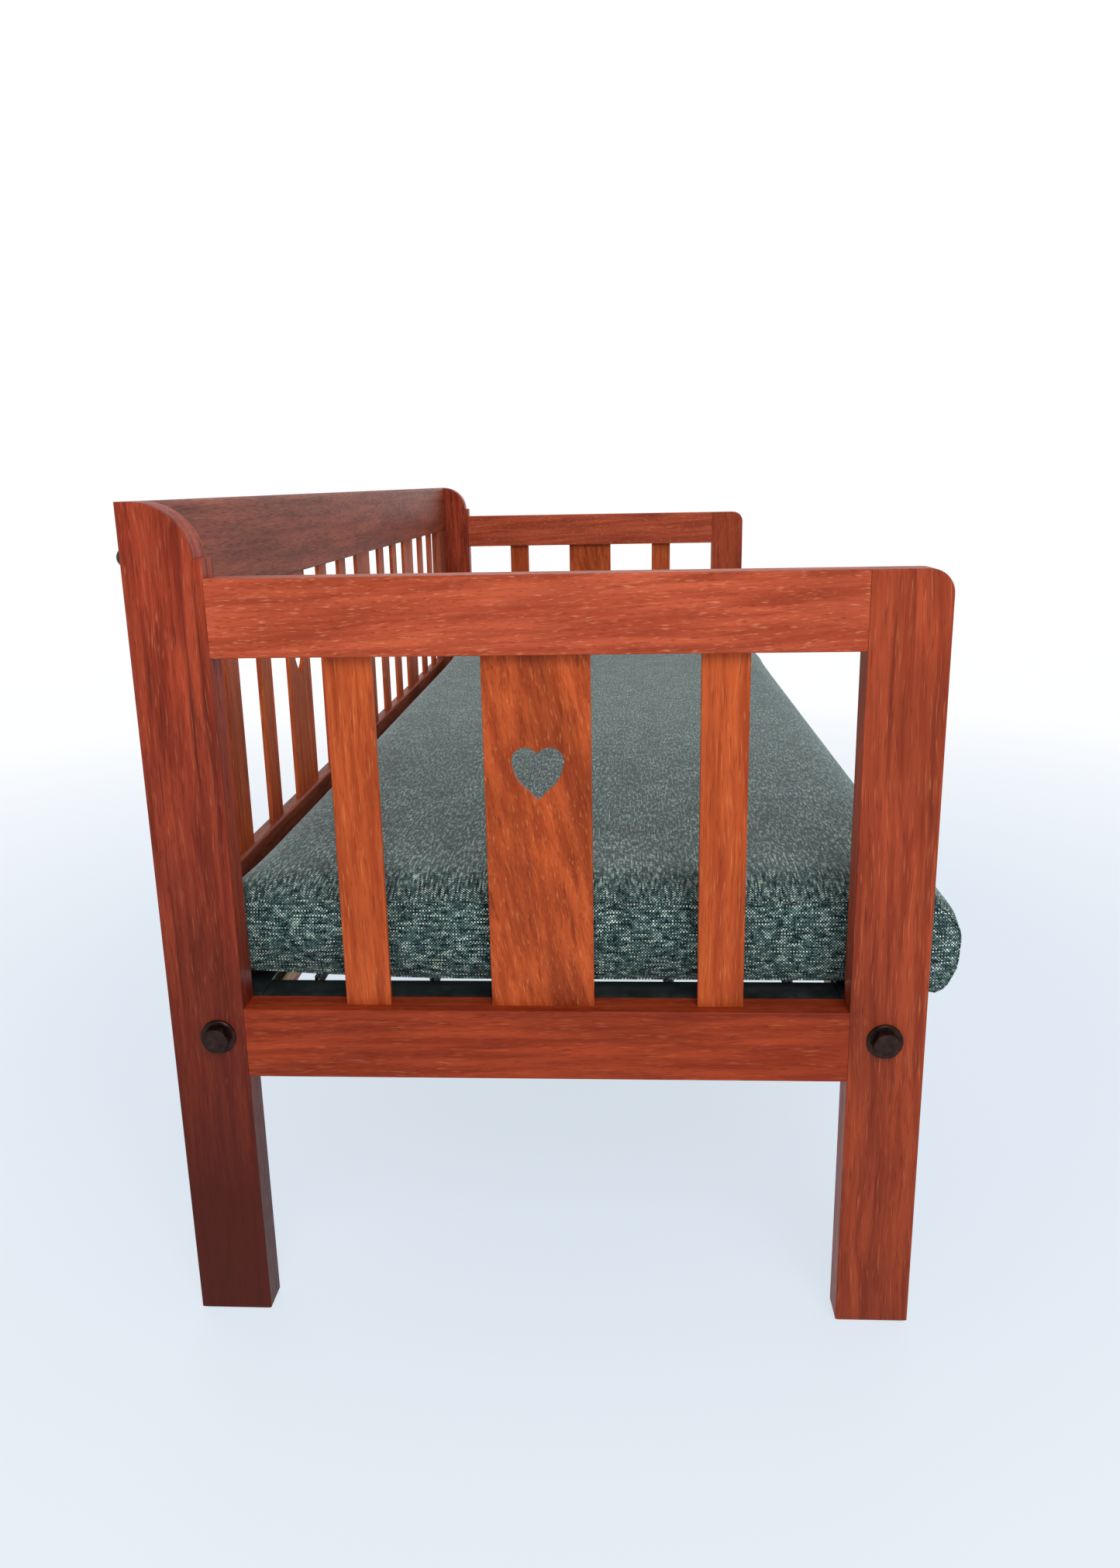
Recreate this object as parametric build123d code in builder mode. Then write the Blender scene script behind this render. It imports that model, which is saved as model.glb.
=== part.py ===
from build123d import *
import math
import os

# Daybed: two slatted end frames, a slatted back panel, two bolted seat rails, a steel spring base
# and one loose seat cushion.  Millimetres.  X runs along the seat, +Y to the back, +Z up.  The
# origin is on the floor, in the middle of the whole object's outline.

# ---- driving sizes: wooden frame ----
total_length = 2040.0          # over the two end frames
frame_depth = 800.0            # over the front and rear posts
frame_thickness = 36.0         # posts and end rails, along X
rear_post_width = 80.5
front_post_width = 79.0
rear_post_height = 905.0
arm_height = 831.0             # top of the front post and of the end top rail
front_corner_radius = 24.0     # outer top corner of the front post
crest_flat = 14.0              # flat left on top of the rear post
ledge_height = 850.0           # small step below the rear post's curved crest
ledge_width = 8.0
foot_chamfer = 4.0
arris = 1.6                    # broken edges of the thick pieces
slat_arris = 1.0               # broken edges of the slats

top_rail_height = 78.0
bottom_rail_height = 79.0
bottom_rail_top = 376.3
tenon_thickness = 12.0
tenon_shoulder = 10.0
tenon_wall = 2.2               # wood left between a tenon and the bed bolt's hole

end_slat_thickness = 8.0
narrow_slat = 48.0
heart_slat = 109.0
slat_housing = 12.0            # depth that each slat's end goes into its rail
fit_gap = 0.15                 # clearance all round a wood joint
end_gap = 1.0                  # room left at the bottom of a mortise or hole

# heart cut-out, measured from its tip
heart_half_width = 26.6
heart_height = 54.5
heart_notch = 47.8
heart_waist = 37.5             # height of the widest place
heart_drop = 95.0              # from the rail above down to the heart's lobes
heart_tip_radius = 3.5
heart_lobe_share = 0.52        # middle of a lobe, as a share of the half width
heart_belly_share = (0.82, 0.41)
heart_flank_share = (0.34, 0.155)
heart_tip_share = (0.7, 0.25)  # where the tip's arc ends, in tip radii

# ---- driving sizes: back panel ----
back_thickness = 19.0
back_rail_height = 108.0
back_low_rail_height = 100.0
back_low_rail_top = 475.0
back_stile_width = 116.0
back_slat_thickness = 6.0
back_crown = 7.0               # rounding of the top rail's upper front edge
back_tenon_length = 20.0
back_tenon_thickness = 8.0
slat_pattern = "nnhnnhnnhnn"   # n narrow slat, h slat with a heart

# ---- driving sizes: seat rails and their bolts ----
seat_rail_thickness = 28.0
rear_bolt_inset = 51.0         # from the rear face of the rear post
front_bolt_inset = 42.0        # from the front face of the front post
bolt_height = 345.0
bolt_radius = 6.0
bolt_hole_gap = 0.3
bolt_reach = 62.0              # from the post's inner face to the barrel nut's centre
hex_flats = 26.5
hex_height = 9.5
hex_crown = 3.0                # the head's corners stand this far past the chamfer cone
hex_cone = 16                  # degrees
bolt_tip_chamfer = 1.2
washer_radius = 19.0
washer_thickness = 3.5
washer_rim = 1.2               # chamfer round the washer
nut_radius = 10.0
nut_length = 22.0
dowel_radius = 5.0
dowel_half = 18.0              # dowel length on each side of the joint
dowel_drop = 28.0              # dowel below the bolt

# ---- driving sizes: steel spring base ----
steel = 3.0                    # thickness of the angle bars
angle = 25.0                   # leg of the angle bars
end_flange = 39.0              # width of the end bars' flange
base_gap = 2.0                 # end bar to end rail
side_gap = 0.5                 # side bar to seat rail
cleat = 20.0                   # wooden strip under each side bar
cleat_end_gap = 44.0
screw_radius = 2.2
screw_head_radius = 4.5
screw_head_height = 2.6
screws_per_cleat = 5
rivet_radius = 3.0
rivet_head_radius = 5.4
rivet_head_height = 2.0
rivet_insets = (12.0, 29.0)    # from the end bar's outer face
spring_pitch = 132.0
spring_radius = 6.5
spring_length = 84.0
spring_wire = 1.1              # radius of the spring wire
spring_neck = 7.0              # straight wire at each end of a spring's body
hook_hole_inset = 6.5          # flange holes from the flange's edge
hook_hole_radius = 2.8
hook_radius = 5.6
hook_play = 0.15               # room between a hook's wire and the steel it pulls on
eye_play = 0.6
mesh_rod_radius = 2.5
mesh_wire_radius = 1.0
mesh_pitch = 20.0
mesh_side_gap = 12.0
cross_pitch = 60.0
thread_gap = 0.05              # steel pieces that touch

# ---- driving sizes: cushion ----
cushion_thickness = 110.0
front_overhang = 58.0          # cushion beyond the front posts
cushion_back_gap = 33.0        # cushion's rear edge to the back's rear face
cushion_left_gap = 9.0         # cushion's ends to the end frames
cushion_right_gap = 59.0
cushion_rest_gap = 0.5
cushion_front_droop = 18.0
cushion_nose = (53.0, 66.0)    # rounding of the upper front edge, along Y and Z
cushion_rear_radius = 26.0
cushion_low_radius = 22.0
cushion_end_radius = 24.0
cover_thickness = 1.5

# ---- driving sizes: screws that lock the back panel's tenons ----
dome_height = 13.0
dome_radius = 10.0
lock_screw_radius = 3.0
lock_screw_length = 26.0

# ---- places worked out from the sizes ----
half_length = total_length / 2
inner_x = half_length - frame_thickness
rear_face = (frame_depth + front_overhang - dome_height) / 2
front_face = rear_face - frame_depth
rear_inner = rear_face - rear_post_width
front_inner = front_face + front_post_width
top_rail_low = arm_height - top_rail_height
bottom_rail_low = bottom_rail_top - bottom_rail_height
rear_bolt_y = rear_face - rear_bolt_inset
front_bolt_y = front_face + front_bolt_inset
bolt_hole_radius = bolt_radius + bolt_hole_gap
rear_tenon = rear_post_width - rear_bolt_inset - bolt_hole_radius - tenon_wall
front_tenon = front_post_width - front_bolt_inset - bolt_hole_radius - tenon_wall
base_top = bottom_rail_top + steel
back_plane = rear_face - back_thickness / 2
back_top_low = rear_post_height - back_rail_height
back_low_low = back_low_rail_top - back_low_rail_height
hook_z = base_top - spring_radius
SIDES = {"left": -1, "right": 1}

os.makedirs("parts", exist_ok=True)


def save(builder, name):
    """Label a finished piece and write its STEP file."""
    builder.part.label = name
    export_step(builder.part, f"parts/{name}.step")


def block(low, high, mode=Mode.ADD):
    """A box between two corners."""
    size = [b - a for a, b in zip(low, high)]
    middle = tuple((a + b) / 2 for a, b in zip(low, high))
    with Locations(middle):
        Box(*size, mode=mode)


def rod(start, axis, radius, length, mode=Mode.ADD):
    """A round bar from a point along +X, +Y or +Z."""
    turn = {"X": (0, 90, 0), "Y": (-90, 0, 0), "Z": (0, 0, 0)}[axis]
    with Locations(Location(start, turn)):
        Cylinder(radius, length, align=(Align.CENTER, Align.CENTER, Align.MIN), mode=mode)


def end_planes(side):
    """Low and high X of an end frame."""
    outer = side * half_length
    inner = side * inner_x
    return min(outer, inner), max(outer, inner)


def outline_edges(part):
    """Edges round the two broad faces of a post, without the foot."""
    faces = part.faces().sort_by(Axis.X)
    edges = faces[0].edges() + faces[-1].edges()
    return edges.filter_by(lambda edge: edge.center().Z > foot_chamfer + 1)


def end_mortises(side, y_inner, toward, tenon):
    """Mortises of an end frame's two rails in a post."""
    x_mid = side * (half_length - frame_thickness / 2)
    half = tenon_thickness / 2 + fit_gap
    y_end = y_inner + toward * (tenon + end_gap)
    y_pair = sorted((y_inner, y_end))
    spans = ((top_rail_low, arm_height), (bottom_rail_low, bottom_rail_top))
    for z_low, z_high in spans:
        low = (x_mid - half, y_pair[0], z_low + tenon_shoulder - fit_gap)
        high = (x_mid + half, y_pair[1], z_high - tenon_shoulder + fit_gap)
        block(low, high, Mode.SUBTRACT)


def bolt_holes(side, y):
    """Bed bolt hole through a post and the blind dowel hole below it."""
    x_low, x_high = end_planes(side)
    rod((x_low, y, bolt_height), "X", bolt_hole_radius, frame_thickness, Mode.SUBTRACT)
    depth = dowel_half + end_gap
    x_start = x_high - depth if side < 0 else x_low
    rod((x_start, y, bolt_height - dowel_drop), "X", dowel_radius + fit_gap, depth, Mode.SUBTRACT)


def make_rear_post(name, side):
    """Tall post with a quarter-oval crest, a small ledge and the back panel's mortises."""
    x_low, x_high = end_planes(side)
    crest_start = rear_face - crest_flat
    crest_foot = rear_inner + ledge_width
    with BuildPart() as post:
        with BuildSketch(Plane.YZ.offset(x_low)):
            with BuildLine():
                Polyline(
                    (crest_foot, ledge_height),
                    (rear_inner, ledge_height),
                    (rear_inner, 0),
                    (rear_face, 0),
                    (rear_face, rear_post_height),
                    (crest_start, rear_post_height),
                )
                EllipticalCenterArc(
                    (crest_start, ledge_height),
                    crest_start - crest_foot,
                    rear_post_height - ledge_height,
                    start_angle=90,
                    arc_size=90,
                )
            make_face()
        extrude(amount=frame_thickness)
        chamfer(post.edges().group_by(Axis.Z)[0], length=foot_chamfer)
        fillet(outline_edges(post.part), radius=arris)
        end_mortises(side, rear_inner, 1, rear_tenon)
        bolt_holes(side, rear_bolt_y)
        half = back_tenon_thickness / 2 + fit_gap
        x_mouth = side * inner_x
        x_pair = sorted((x_mouth, x_mouth + side * (back_tenon_length + end_gap)))
        for z_low, z_high in ((back_top_low, rear_post_height), (back_low_low, back_low_rail_top)):
            low = (x_pair[0], back_plane - half, z_low + tenon_shoulder - fit_gap)
            high = (x_pair[1], back_plane + half, z_high - tenon_shoulder + fit_gap)
            block(low, high, Mode.SUBTRACT)
        start = (lock_screw_x(side), rear_face - lock_screw_length, lock_screw_z())
        rod(start, "Y", lock_screw_radius + thread_gap, lock_screw_length, Mode.SUBTRACT)
    save(post, name)


def make_front_post(name, side):
    """Short post, flush with the arm, with one rounded top corner."""
    x_low, x_high = end_planes(side)
    with BuildPart() as post:
        with BuildSketch(Plane.YZ.offset(x_low)):
            with BuildLine():
                Polyline(
                    (front_face + front_corner_radius, arm_height),
                    (front_inner, arm_height),
                    (front_inner, 0),
                    (front_face, 0),
                    (front_face, arm_height - front_corner_radius),
                )
                RadiusArc(
                    (front_face, arm_height - front_corner_radius),
                    (front_face + front_corner_radius, arm_height),
                    front_corner_radius,
                )
            make_face()
        extrude(amount=frame_thickness)
        chamfer(post.edges().group_by(Axis.Z)[0], length=foot_chamfer)
        fillet(outline_edges(post.part), radius=arris)
        end_mortises(side, front_inner, -1, front_tenon)
        bolt_holes(side, front_bolt_y)
    save(post, name)


def end_slats():
    """Low and high Y of the three end slats, evenly spaced."""
    opening = rear_inner - front_inner
    gap = (opening - 2 * narrow_slat - heart_slat) / 4
    spans = []
    y = front_inner
    for width in (narrow_slat, heart_slat, narrow_slat):
        y += gap
        spans.append((y, y + width))
        y += width
    return spans


def make_end_rail(name, side, z_low, height, housing_side):
    """Rail of an end frame: stub tenons in the posts, housings for the slats."""
    x_low, x_high = end_planes(side)
    x_mid = (x_low + x_high) / 2
    z_high = z_low + height
    with BuildPart() as rail:
        block((x_low, front_inner, z_low), (x_high, rear_inner, z_high))
        fillet(rail.edges().filter_by(Axis.Y), radius=arris)
        block(
            (x_mid - tenon_thickness / 2, front_inner - front_tenon, z_low + tenon_shoulder),
            (x_mid + tenon_thickness / 2, rear_inner + rear_tenon, z_high - tenon_shoulder),
        )
        half = end_slat_thickness / 2 + fit_gap
        mouth = z_low if housing_side < 0 else z_high
        z_pair = sorted((mouth, mouth - housing_side * (slat_housing + end_gap)))
        for y_low, y_high in end_slats():
            low = (x_mid - half, y_low - fit_gap, z_pair[0])
            high = (x_mid + half, y_high + fit_gap, z_pair[1])
            block(low, high, Mode.SUBTRACT)
    save(rail, name)


def heart():
    """Heart outline with its tip at the sketch's origin."""
    lobe_x = heart_half_width * heart_lobe_share
    belly_x, belly_z = heart_half_width * heart_belly_share[0], heart_height * heart_belly_share[1]
    flank_x, flank_z = heart_half_width * heart_flank_share[0], heart_height * heart_flank_share[1]
    tip_x, tip_z = heart_tip_radius * heart_tip_share[0], heart_tip_radius * heart_tip_share[1]
    for way in (1, -1):
        waist = (way * heart_half_width, heart_waist)
        flank = (way * flank_x, flank_z)
        ThreePointArc((0, heart_notch), (way * lobe_x, heart_height), waist)
        ThreePointArc(waist, (way * belly_x, belly_z), flank)
        Line(flank, (way * tip_x, tip_z))
    ThreePointArc((tip_x, tip_z), (0, 0), (-tip_x, tip_z))


def make_end_slat(name, side, y_low, y_high, with_heart):
    """Upright slat of an end frame."""
    x_mid = side * (half_length - frame_thickness / 2)
    half = end_slat_thickness / 2
    z_low = bottom_rail_top - slat_housing
    z_high = top_rail_low + slat_housing
    with BuildPart() as slat:
        block((x_mid - half, y_low, z_low), (x_mid + half, y_high, z_high))
        fillet(slat.edges().filter_by(Axis.Z), radius=slat_arris)
        if with_heart:
            tip = top_rail_low - heart_drop - heart_height
            plane = Plane(
                origin=(x_mid - half, (y_low + y_high) / 2, tip), x_dir=(0, 1, 0), z_dir=(1, 0, 0)
            )
            with BuildSketch(plane):
                with BuildLine():
                    heart()
                make_face()
            extrude(amount=end_slat_thickness, mode=Mode.SUBTRACT)
    save(slat, name)


def back_slats():
    """Low and high X of each back slat with its pattern letter."""
    start = -inner_x + back_stile_width
    widths = {"n": narrow_slat, "h": heart_slat}
    free = -2 * start - sum(widths[letter] for letter in slat_pattern)
    gap = free / (len(slat_pattern) + 1)
    spans = []
    x = start
    for letter in slat_pattern:
        x += gap
        spans.append((x, x + widths[letter], letter))
        x += widths[letter]
    return spans


def lock_screw_x(side):
    """X of the screws that lock the back panel's tenons."""
    return side * (inner_x + back_tenon_length / 2)


def lock_screw_z():
    """Height of the screws that lock the back panel's upper tenons."""
    return (back_top_low + rear_post_height) / 2


def make_back_rail(name, z_low, height, crown, housing_side):
    """Long rail of the back panel with tenons, slat housings and stile housings."""
    z_high = z_low + height
    y_front = rear_face - back_thickness
    with BuildPart() as rail:
        block((-inner_x, y_front, z_low), (inner_x, rear_face, z_high))
        long_edges = rail.edges().filter_by(Axis.X)
        top_front = long_edges.group_by(Axis.Z)[-1].sort_by(Axis.Y)[0]
        fillet(top_front, radius=crown)
        others = rail.edges().filter_by(Axis.X).filter_by(
            lambda edge: edge.center().Y > rear_face - arris / 2 or edge.center().Z < z_low + arris / 2
        )
        fillet(others, radius=arris)
        block(
            (-inner_x - back_tenon_length, back_plane - back_tenon_thickness / 2, z_low + tenon_shoulder),
            (inner_x + back_tenon_length, back_plane + back_tenon_thickness / 2, z_high - tenon_shoulder),
        )
        mouth = z_low if housing_side < 0 else z_high
        z_pair = sorted((mouth, mouth - housing_side * (slat_housing + end_gap)))
        half = back_slat_thickness / 2 + fit_gap
        pieces = [(low, high, half) for low, high, _ in back_slats()]
        tongue = back_tenon_thickness / 2 + fit_gap
        for side in SIDES.values():
            x_pair = sorted((side * inner_x, side * (inner_x - back_stile_width)))
            pieces.append((x_pair[0] + tenon_shoulder, x_pair[1] - tenon_shoulder, tongue))
        for x_low, x_high, depth in pieces:
            low = (x_low - fit_gap, back_plane - depth, z_pair[0])
            high = (x_high + fit_gap, back_plane + depth, z_pair[1])
            block(low, high, Mode.SUBTRACT)
        if z_low < lock_screw_z() < z_high:
            for side in SIDES.values():
                start = (lock_screw_x(side), back_plane - back_thickness / 2, lock_screw_z())
                rod(start, "Y", lock_screw_radius + thread_gap, back_thickness, Mode.SUBTRACT)
    save(rail, name)


def make_back_stile(name, side):
    """Wide board between the back panel's first gap and the post."""
    x_pair = sorted((side * inner_x, side * (inner_x - back_stile_width)))
    y_front = rear_face - back_thickness
    with BuildPart() as stile:
        block((x_pair[0], y_front, back_low_rail_top), (x_pair[1], rear_face, back_top_low))
        fillet(stile.edges().filter_by(Axis.Z), radius=arris)
        block(
            (
                x_pair[0] + tenon_shoulder,
                back_plane - back_tenon_thickness / 2,
                back_low_rail_top - slat_housing,
            ),
            (
                x_pair[1] - tenon_shoulder,
                back_plane + back_tenon_thickness / 2,
                back_top_low + slat_housing,
            ),
        )
    save(stile, name)


def make_back_slat(name, x_low, x_high, letter):
    """Thin upright slat of the back panel."""
    half = back_slat_thickness / 2
    with BuildPart() as slat:
        block(
            (x_low, back_plane - half, back_low_rail_top - slat_housing),
            (x_high, back_plane + half, back_top_low + slat_housing),
        )
        fillet(slat.edges().filter_by(Axis.Z), radius=slat_arris)
        if letter == "h":
            tip = back_top_low - heart_drop - heart_height
            plane = Plane(
                origin=((x_low + x_high) / 2, back_plane + half, tip), x_dir=(1, 0, 0), z_dir=(0, -1, 0)
            )
            with BuildSketch(plane):
                with BuildLine():
                    heart()
                make_face()
            extrude(amount=back_slat_thickness, mode=Mode.SUBTRACT)
    save(slat, name)


def cleat_screw_places():
    """X of the screws along a cleat."""
    reach = inner_x - bolt_reach - nut_radius - cleat
    step = 2 * reach / (screws_per_cleat - 1)
    return [-reach + step * index for index in range(screws_per_cleat)]


def seat_rail_lines():
    """For each seat rail: its name, its middle Y, and the way to the seat's middle."""
    return (("rear", rear_bolt_y, -1), ("front", front_bolt_y, 1))


def make_seat_rail(name, y_mid, inward):
    """Long rail under the seat, bolted between the posts."""
    half = seat_rail_thickness / 2
    with BuildPart() as rail:
        block((-inner_x, y_mid - half, bottom_rail_low), (inner_x, y_mid + half, bottom_rail_top))
        fillet(rail.edges().filter_by(Axis.X), radius=arris)
        for side in SIDES.values():
            bolt_end = bolt_reach + nut_radius + end_gap
            x_bolt = -inner_x if side < 0 else inner_x - bolt_end
            rod((x_bolt, y_mid, bolt_height), "X", bolt_hole_radius, bolt_end, Mode.SUBTRACT)
            dowel_depth = dowel_half + end_gap
            x_dowel = -inner_x if side < 0 else inner_x - dowel_depth
            dowel_start = (x_dowel, y_mid, bolt_height - dowel_drop)
            rod(dowel_start, "X", dowel_radius + fit_gap, dowel_depth, Mode.SUBTRACT)
            y_nut = y_mid - nut_length / 2 if inward > 0 else y_mid - half
            nut_depth = half + nut_length / 2
            nut_start = (side * (inner_x - bolt_reach), y_nut, bolt_height)
            rod(nut_start, "Y", nut_radius + fit_gap, nut_depth, Mode.SUBTRACT)
        y_face = y_mid + inward * half
        depth = seat_rail_thickness / 2
        for x in cleat_screw_places():
            y_low = min(y_face, y_face - inward * depth)
            rod((x, y_low, cleat_middle()), "Y", screw_radius + thread_gap, depth, Mode.SUBTRACT)
    save(rail, name)


def cleat_middle():
    """Height of a cleat's middle: its top carries the side bar's leg."""
    return base_top - angle - cleat / 2


def make_cleat(name, y_face, inward):
    """Wooden strip screwed to a seat rail under the side bar."""
    x_reach = inner_x - cleat_end_gap
    y_pair = sorted((y_face, y_face + inward * cleat))
    z_mid = cleat_middle()
    with BuildPart() as strip:
        low = (-x_reach, y_pair[0], z_mid - cleat / 2)
        block(low, (x_reach, y_pair[1], z_mid + cleat / 2))
        fillet(strip.edges().filter_by(Axis.X), radius=slat_arris)
        for x in cleat_screw_places():
            rod((x, y_pair[0], z_mid), "Y", screw_radius + thread_gap, cleat, Mode.SUBTRACT)
    save(strip, name)


def make_cleat_screws():
    """Round-head wood screws through both cleats."""
    with BuildPart() as screws:
        for _, y_mid, inward in seat_rail_lines():
            y_face = y_mid + inward * seat_rail_thickness / 2
            y_head = y_face + inward * cleat
            reach = cleat + seat_rail_thickness / 2 - end_gap
            y_low = min(y_head, y_head - inward * reach)
            y_low_head = min(y_head, y_head + inward * screw_head_height)
            for x in cleat_screw_places():
                rod((x, y_low, cleat_middle()), "Y", screw_radius, reach)
                rod((x, y_low_head, cleat_middle()), "Y", screw_head_radius, screw_head_height)
    save(screws, "cleat_screws")


def make_bolt(name, side, y):
    """Hexagon-head bed bolt."""
    x_face = side * half_length
    x_seat = x_face + side * washer_thickness
    length = washer_thickness + frame_thickness + bolt_reach + nut_radius - end_gap
    head_radius = hex_flats / math.sqrt(3)
    with BuildPart() as bolt:
        plane = Plane(origin=(x_seat, y, bolt_height), x_dir=(0, 1, 0), z_dir=(side, 0, 0))
        with BuildSketch(plane):
            RegularPolygon(radius=head_radius, side_count=6)
        extrude(amount=hex_height)
        # the turned crown of the head: a cone cuts the six corners
        with BuildSketch(plane):
            Circle(hex_flats / 2 + hex_crown)
        extrude(amount=hex_height, taper=hex_cone, mode=Mode.INTERSECT)
        x_low = min(x_seat, x_seat - side * length)
        rod((x_low, y, bolt_height), "X", bolt_radius, length)
        tip = bolt.faces().sort_by(Axis.X)[-1 if side < 0 else 0]
        chamfer(tip.edges(), length=bolt_tip_chamfer)
    save(bolt, name)


def bolt_places():
    """Side and Y of the four bed bolts."""
    return [(side, y) for side in SIDES.values() for _, y, _ in seat_rail_lines()]


def make_washers():
    """Round turned washers with a raised seat under the bolt heads."""
    with BuildPart() as washers:
        for side, y in bolt_places():
            x_face = side * half_length
            with BuildSketch(Plane(origin=(0, y, bolt_height), x_dir=(1, 0, 0), z_dir=(0, -1, 0))):
                with BuildLine():
                    Polyline(
                        (x_face, bolt_hole_radius),
                        (x_face, washer_radius),
                        (x_face + side * (washer_thickness - washer_rim), washer_radius),
                        (x_face + side * washer_thickness, washer_radius - washer_rim),
                        (x_face + side * washer_thickness, bolt_hole_radius),
                        close=True,
                    )
                make_face()
            revolve(axis=Axis((0, y, bolt_height), (1, 0, 0)))
    save(washers, "bolt_washers")


def make_barrel_nuts():
    """Cross nuts in the seat rails that the bed bolts screw into."""
    with BuildPart() as nuts:
        for side in SIDES.values():
            for _, y_mid, _ in seat_rail_lines():
                centre = (side * (inner_x - bolt_reach), y_mid - nut_length / 2, bolt_height)
                rod(centre, "Y", nut_radius, nut_length)
                hole = (centre[0] - nut_radius, y_mid, bolt_height)
                rod(hole, "X", bolt_radius + thread_gap, 2 * nut_radius, Mode.SUBTRACT)
    save(nuts, "barrel_nuts")


def make_rail_dowels():
    """Wooden pegs that stop the seat rails turning on their bolts."""
    with BuildPart() as dowels:
        for side, y in bolt_places():
            start = (side * inner_x - dowel_half, y, bolt_height - dowel_drop)
            rod(start, "X", dowel_radius, 2 * dowel_half)
    save(dowels, "rail_dowels")


def make_lock_screws():
    """Domed screws through the rear posts into the back panel's upper tenons."""
    ball = (dome_radius ** 2 + dome_height ** 2) / (2 * dome_height)
    z = lock_screw_z()
    with BuildPart() as screws:
        for side in SIDES.values():
            x = lock_screw_x(side)
            with BuildSketch(Plane(origin=(x, rear_face, z), x_dir=(1, 0, 0), z_dir=(0, 0, 1))):
                with BuildLine():
                    Line((0, 0), (dome_radius, 0))
                    RadiusArc((dome_radius, 0), (0, dome_height), -ball)
                    Line((0, dome_height), (0, 0))
                make_face()
            revolve(axis=Axis((x, 0, z), (0, 1, 0)))
            length = lock_screw_length - end_gap
            rod((x, rear_face - length, z), "Y", lock_screw_radius, length)
    save(screws, "back_panel_screws")


def side_bar_outer(y_mid, inward):
    """Outer Y of a side angle bar, next to its seat rail."""
    return y_mid + inward * (seat_rail_thickness / 2 + side_gap)


def make_side_bar(name, y_mid, inward):
    """Angle bar along the seat: leg down against the seat rail, flange on top."""
    y_outer = side_bar_outer(y_mid, inward)
    y_leg = sorted((y_outer, y_outer + inward * steel))
    y_flange = sorted((y_outer, y_outer + inward * angle))
    x_reach = inner_x - base_gap
    with BuildPart() as bar:
        block((-x_reach, y_leg[0], base_top - angle), (x_reach, y_leg[1], base_top))
        block((-x_reach, y_flange[0], base_top - steel), (x_reach, y_flange[1], base_top))
        for x, y in rivet_places():
            if (y > 0) == (y_mid > 0):
                rod((x, y, base_top - steel), "Z", rivet_radius + thread_gap, steel, Mode.SUBTRACT)
    save(bar, name)


def rivet_places():
    """X and Y of the corner rivets, two at each corner."""
    places = []
    for side in SIDES.values():
        for _, y_mid, inward in seat_rail_lines():
            y = side_bar_outer(y_mid, inward) + inward * (steel + angle) / 2
            for inset in rivet_insets:
                places.append((side * (inner_x - base_gap - inset), y))
    return places


def mesh_span():
    """Low and high Y of the link mesh."""
    low = side_bar_outer(front_bolt_y, 1) + angle + mesh_side_gap
    high = side_bar_outer(rear_bolt_y, -1) - angle - mesh_side_gap
    return low, high


def spring_places():
    """Y of the tension springs at each end: as many as the mesh rod has room for."""
    low, high = mesh_span()
    gaps = int((high - low - 2 * spring_radius) / spring_pitch)
    first = (low + high - gaps * spring_pitch) / 2
    return [first + spring_pitch * index for index in range(gaps + 1)]


def make_end_bar(name, side):
    """Angle bar across the end: its flange lies under the side bars' flanges."""
    x_outer = side * (inner_x - base_gap)
    x_leg = sorted((x_outer, x_outer - side * steel))
    x_flange = sorted((x_outer, x_outer - side * end_flange))
    y_low = side_bar_outer(front_bolt_y, 1) + steel + side_gap
    y_high = side_bar_outer(rear_bolt_y, -1) - steel - side_gap
    top = base_top - steel
    with BuildPart() as bar:
        block((x_leg[0], y_low, top - angle), (x_leg[1], y_high, top))
        block((x_flange[0], y_low, top - steel), (x_flange[1], y_high, top))
        for x, y in rivet_places():
            if (x > 0) == (side > 0):
                rod((x, y, top - steel), "Z", rivet_radius + thread_gap, steel, Mode.SUBTRACT)
        x_hole = side * (inner_x - base_gap - end_flange + hook_hole_inset)
        for y in spring_places():
            rod((x_hole, y, top - steel), "Z", hook_hole_radius, steel, Mode.SUBTRACT)
    save(bar, name)


def make_corner_rivets():
    """Rivets through the lapped flanges, headed below and flush on top."""
    with BuildPart() as rivets:
        for x, y in rivet_places():
            low = base_top - 2 * steel
            rod((x, y, low), "Z", rivet_radius, 2 * steel)
            rod((x, y, low - rivet_head_height), "Z", rivet_head_radius, rivet_head_height)
    save(rivets, "corner_rivets")


def hook_x(side):
    """X of the centre of the hooks, whose wire bears on the upper corner of its hole."""
    hole_wall = inner_x - base_gap - end_flange + hook_hole_inset - hook_hole_radius
    rise = base_top - steel - hook_z
    inside = hook_radius - spring_wire - hook_play
    return side * (hole_wall - math.sqrt(inside ** 2 - rise ** 2))


def mesh_rod_x(side):
    """X of the rod that the springs pull on."""
    turn = hook_radius + spring_length + hook_radius - spring_wire
    return hook_x(side) - side * turn


def make_springs(name, side):
    """Tension springs: a hook in the flange, a round body and an eye round the mesh rod."""
    eye_radius = mesh_rod_radius + spring_wire + eye_play
    x_flange = hook_x(side) - side * (hook_radius - spring_wire / 2)
    x_rod = mesh_rod_x(side)
    x_eye = x_rod + side * (eye_radius - spring_wire / 2)
    low, high = sorted((x_flange, x_eye))
    with BuildPart() as springs:
        for y in spring_places():
            for x, radius in ((hook_x(side), hook_radius), (x_rod, eye_radius)):
                ring_plane = Plane(origin=(x, y, hook_z), x_dir=(1, 0, 0), z_dir=(0, 1, 0))
                with Locations(ring_plane):
                    Torus(radius, spring_wire)
            rod((low, y, hook_z), "X", spring_wire, high - low)
            rod((low + spring_neck, y, hook_z), "X", spring_radius, high - low - 2 * spring_neck)
    save(springs, name)


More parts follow.
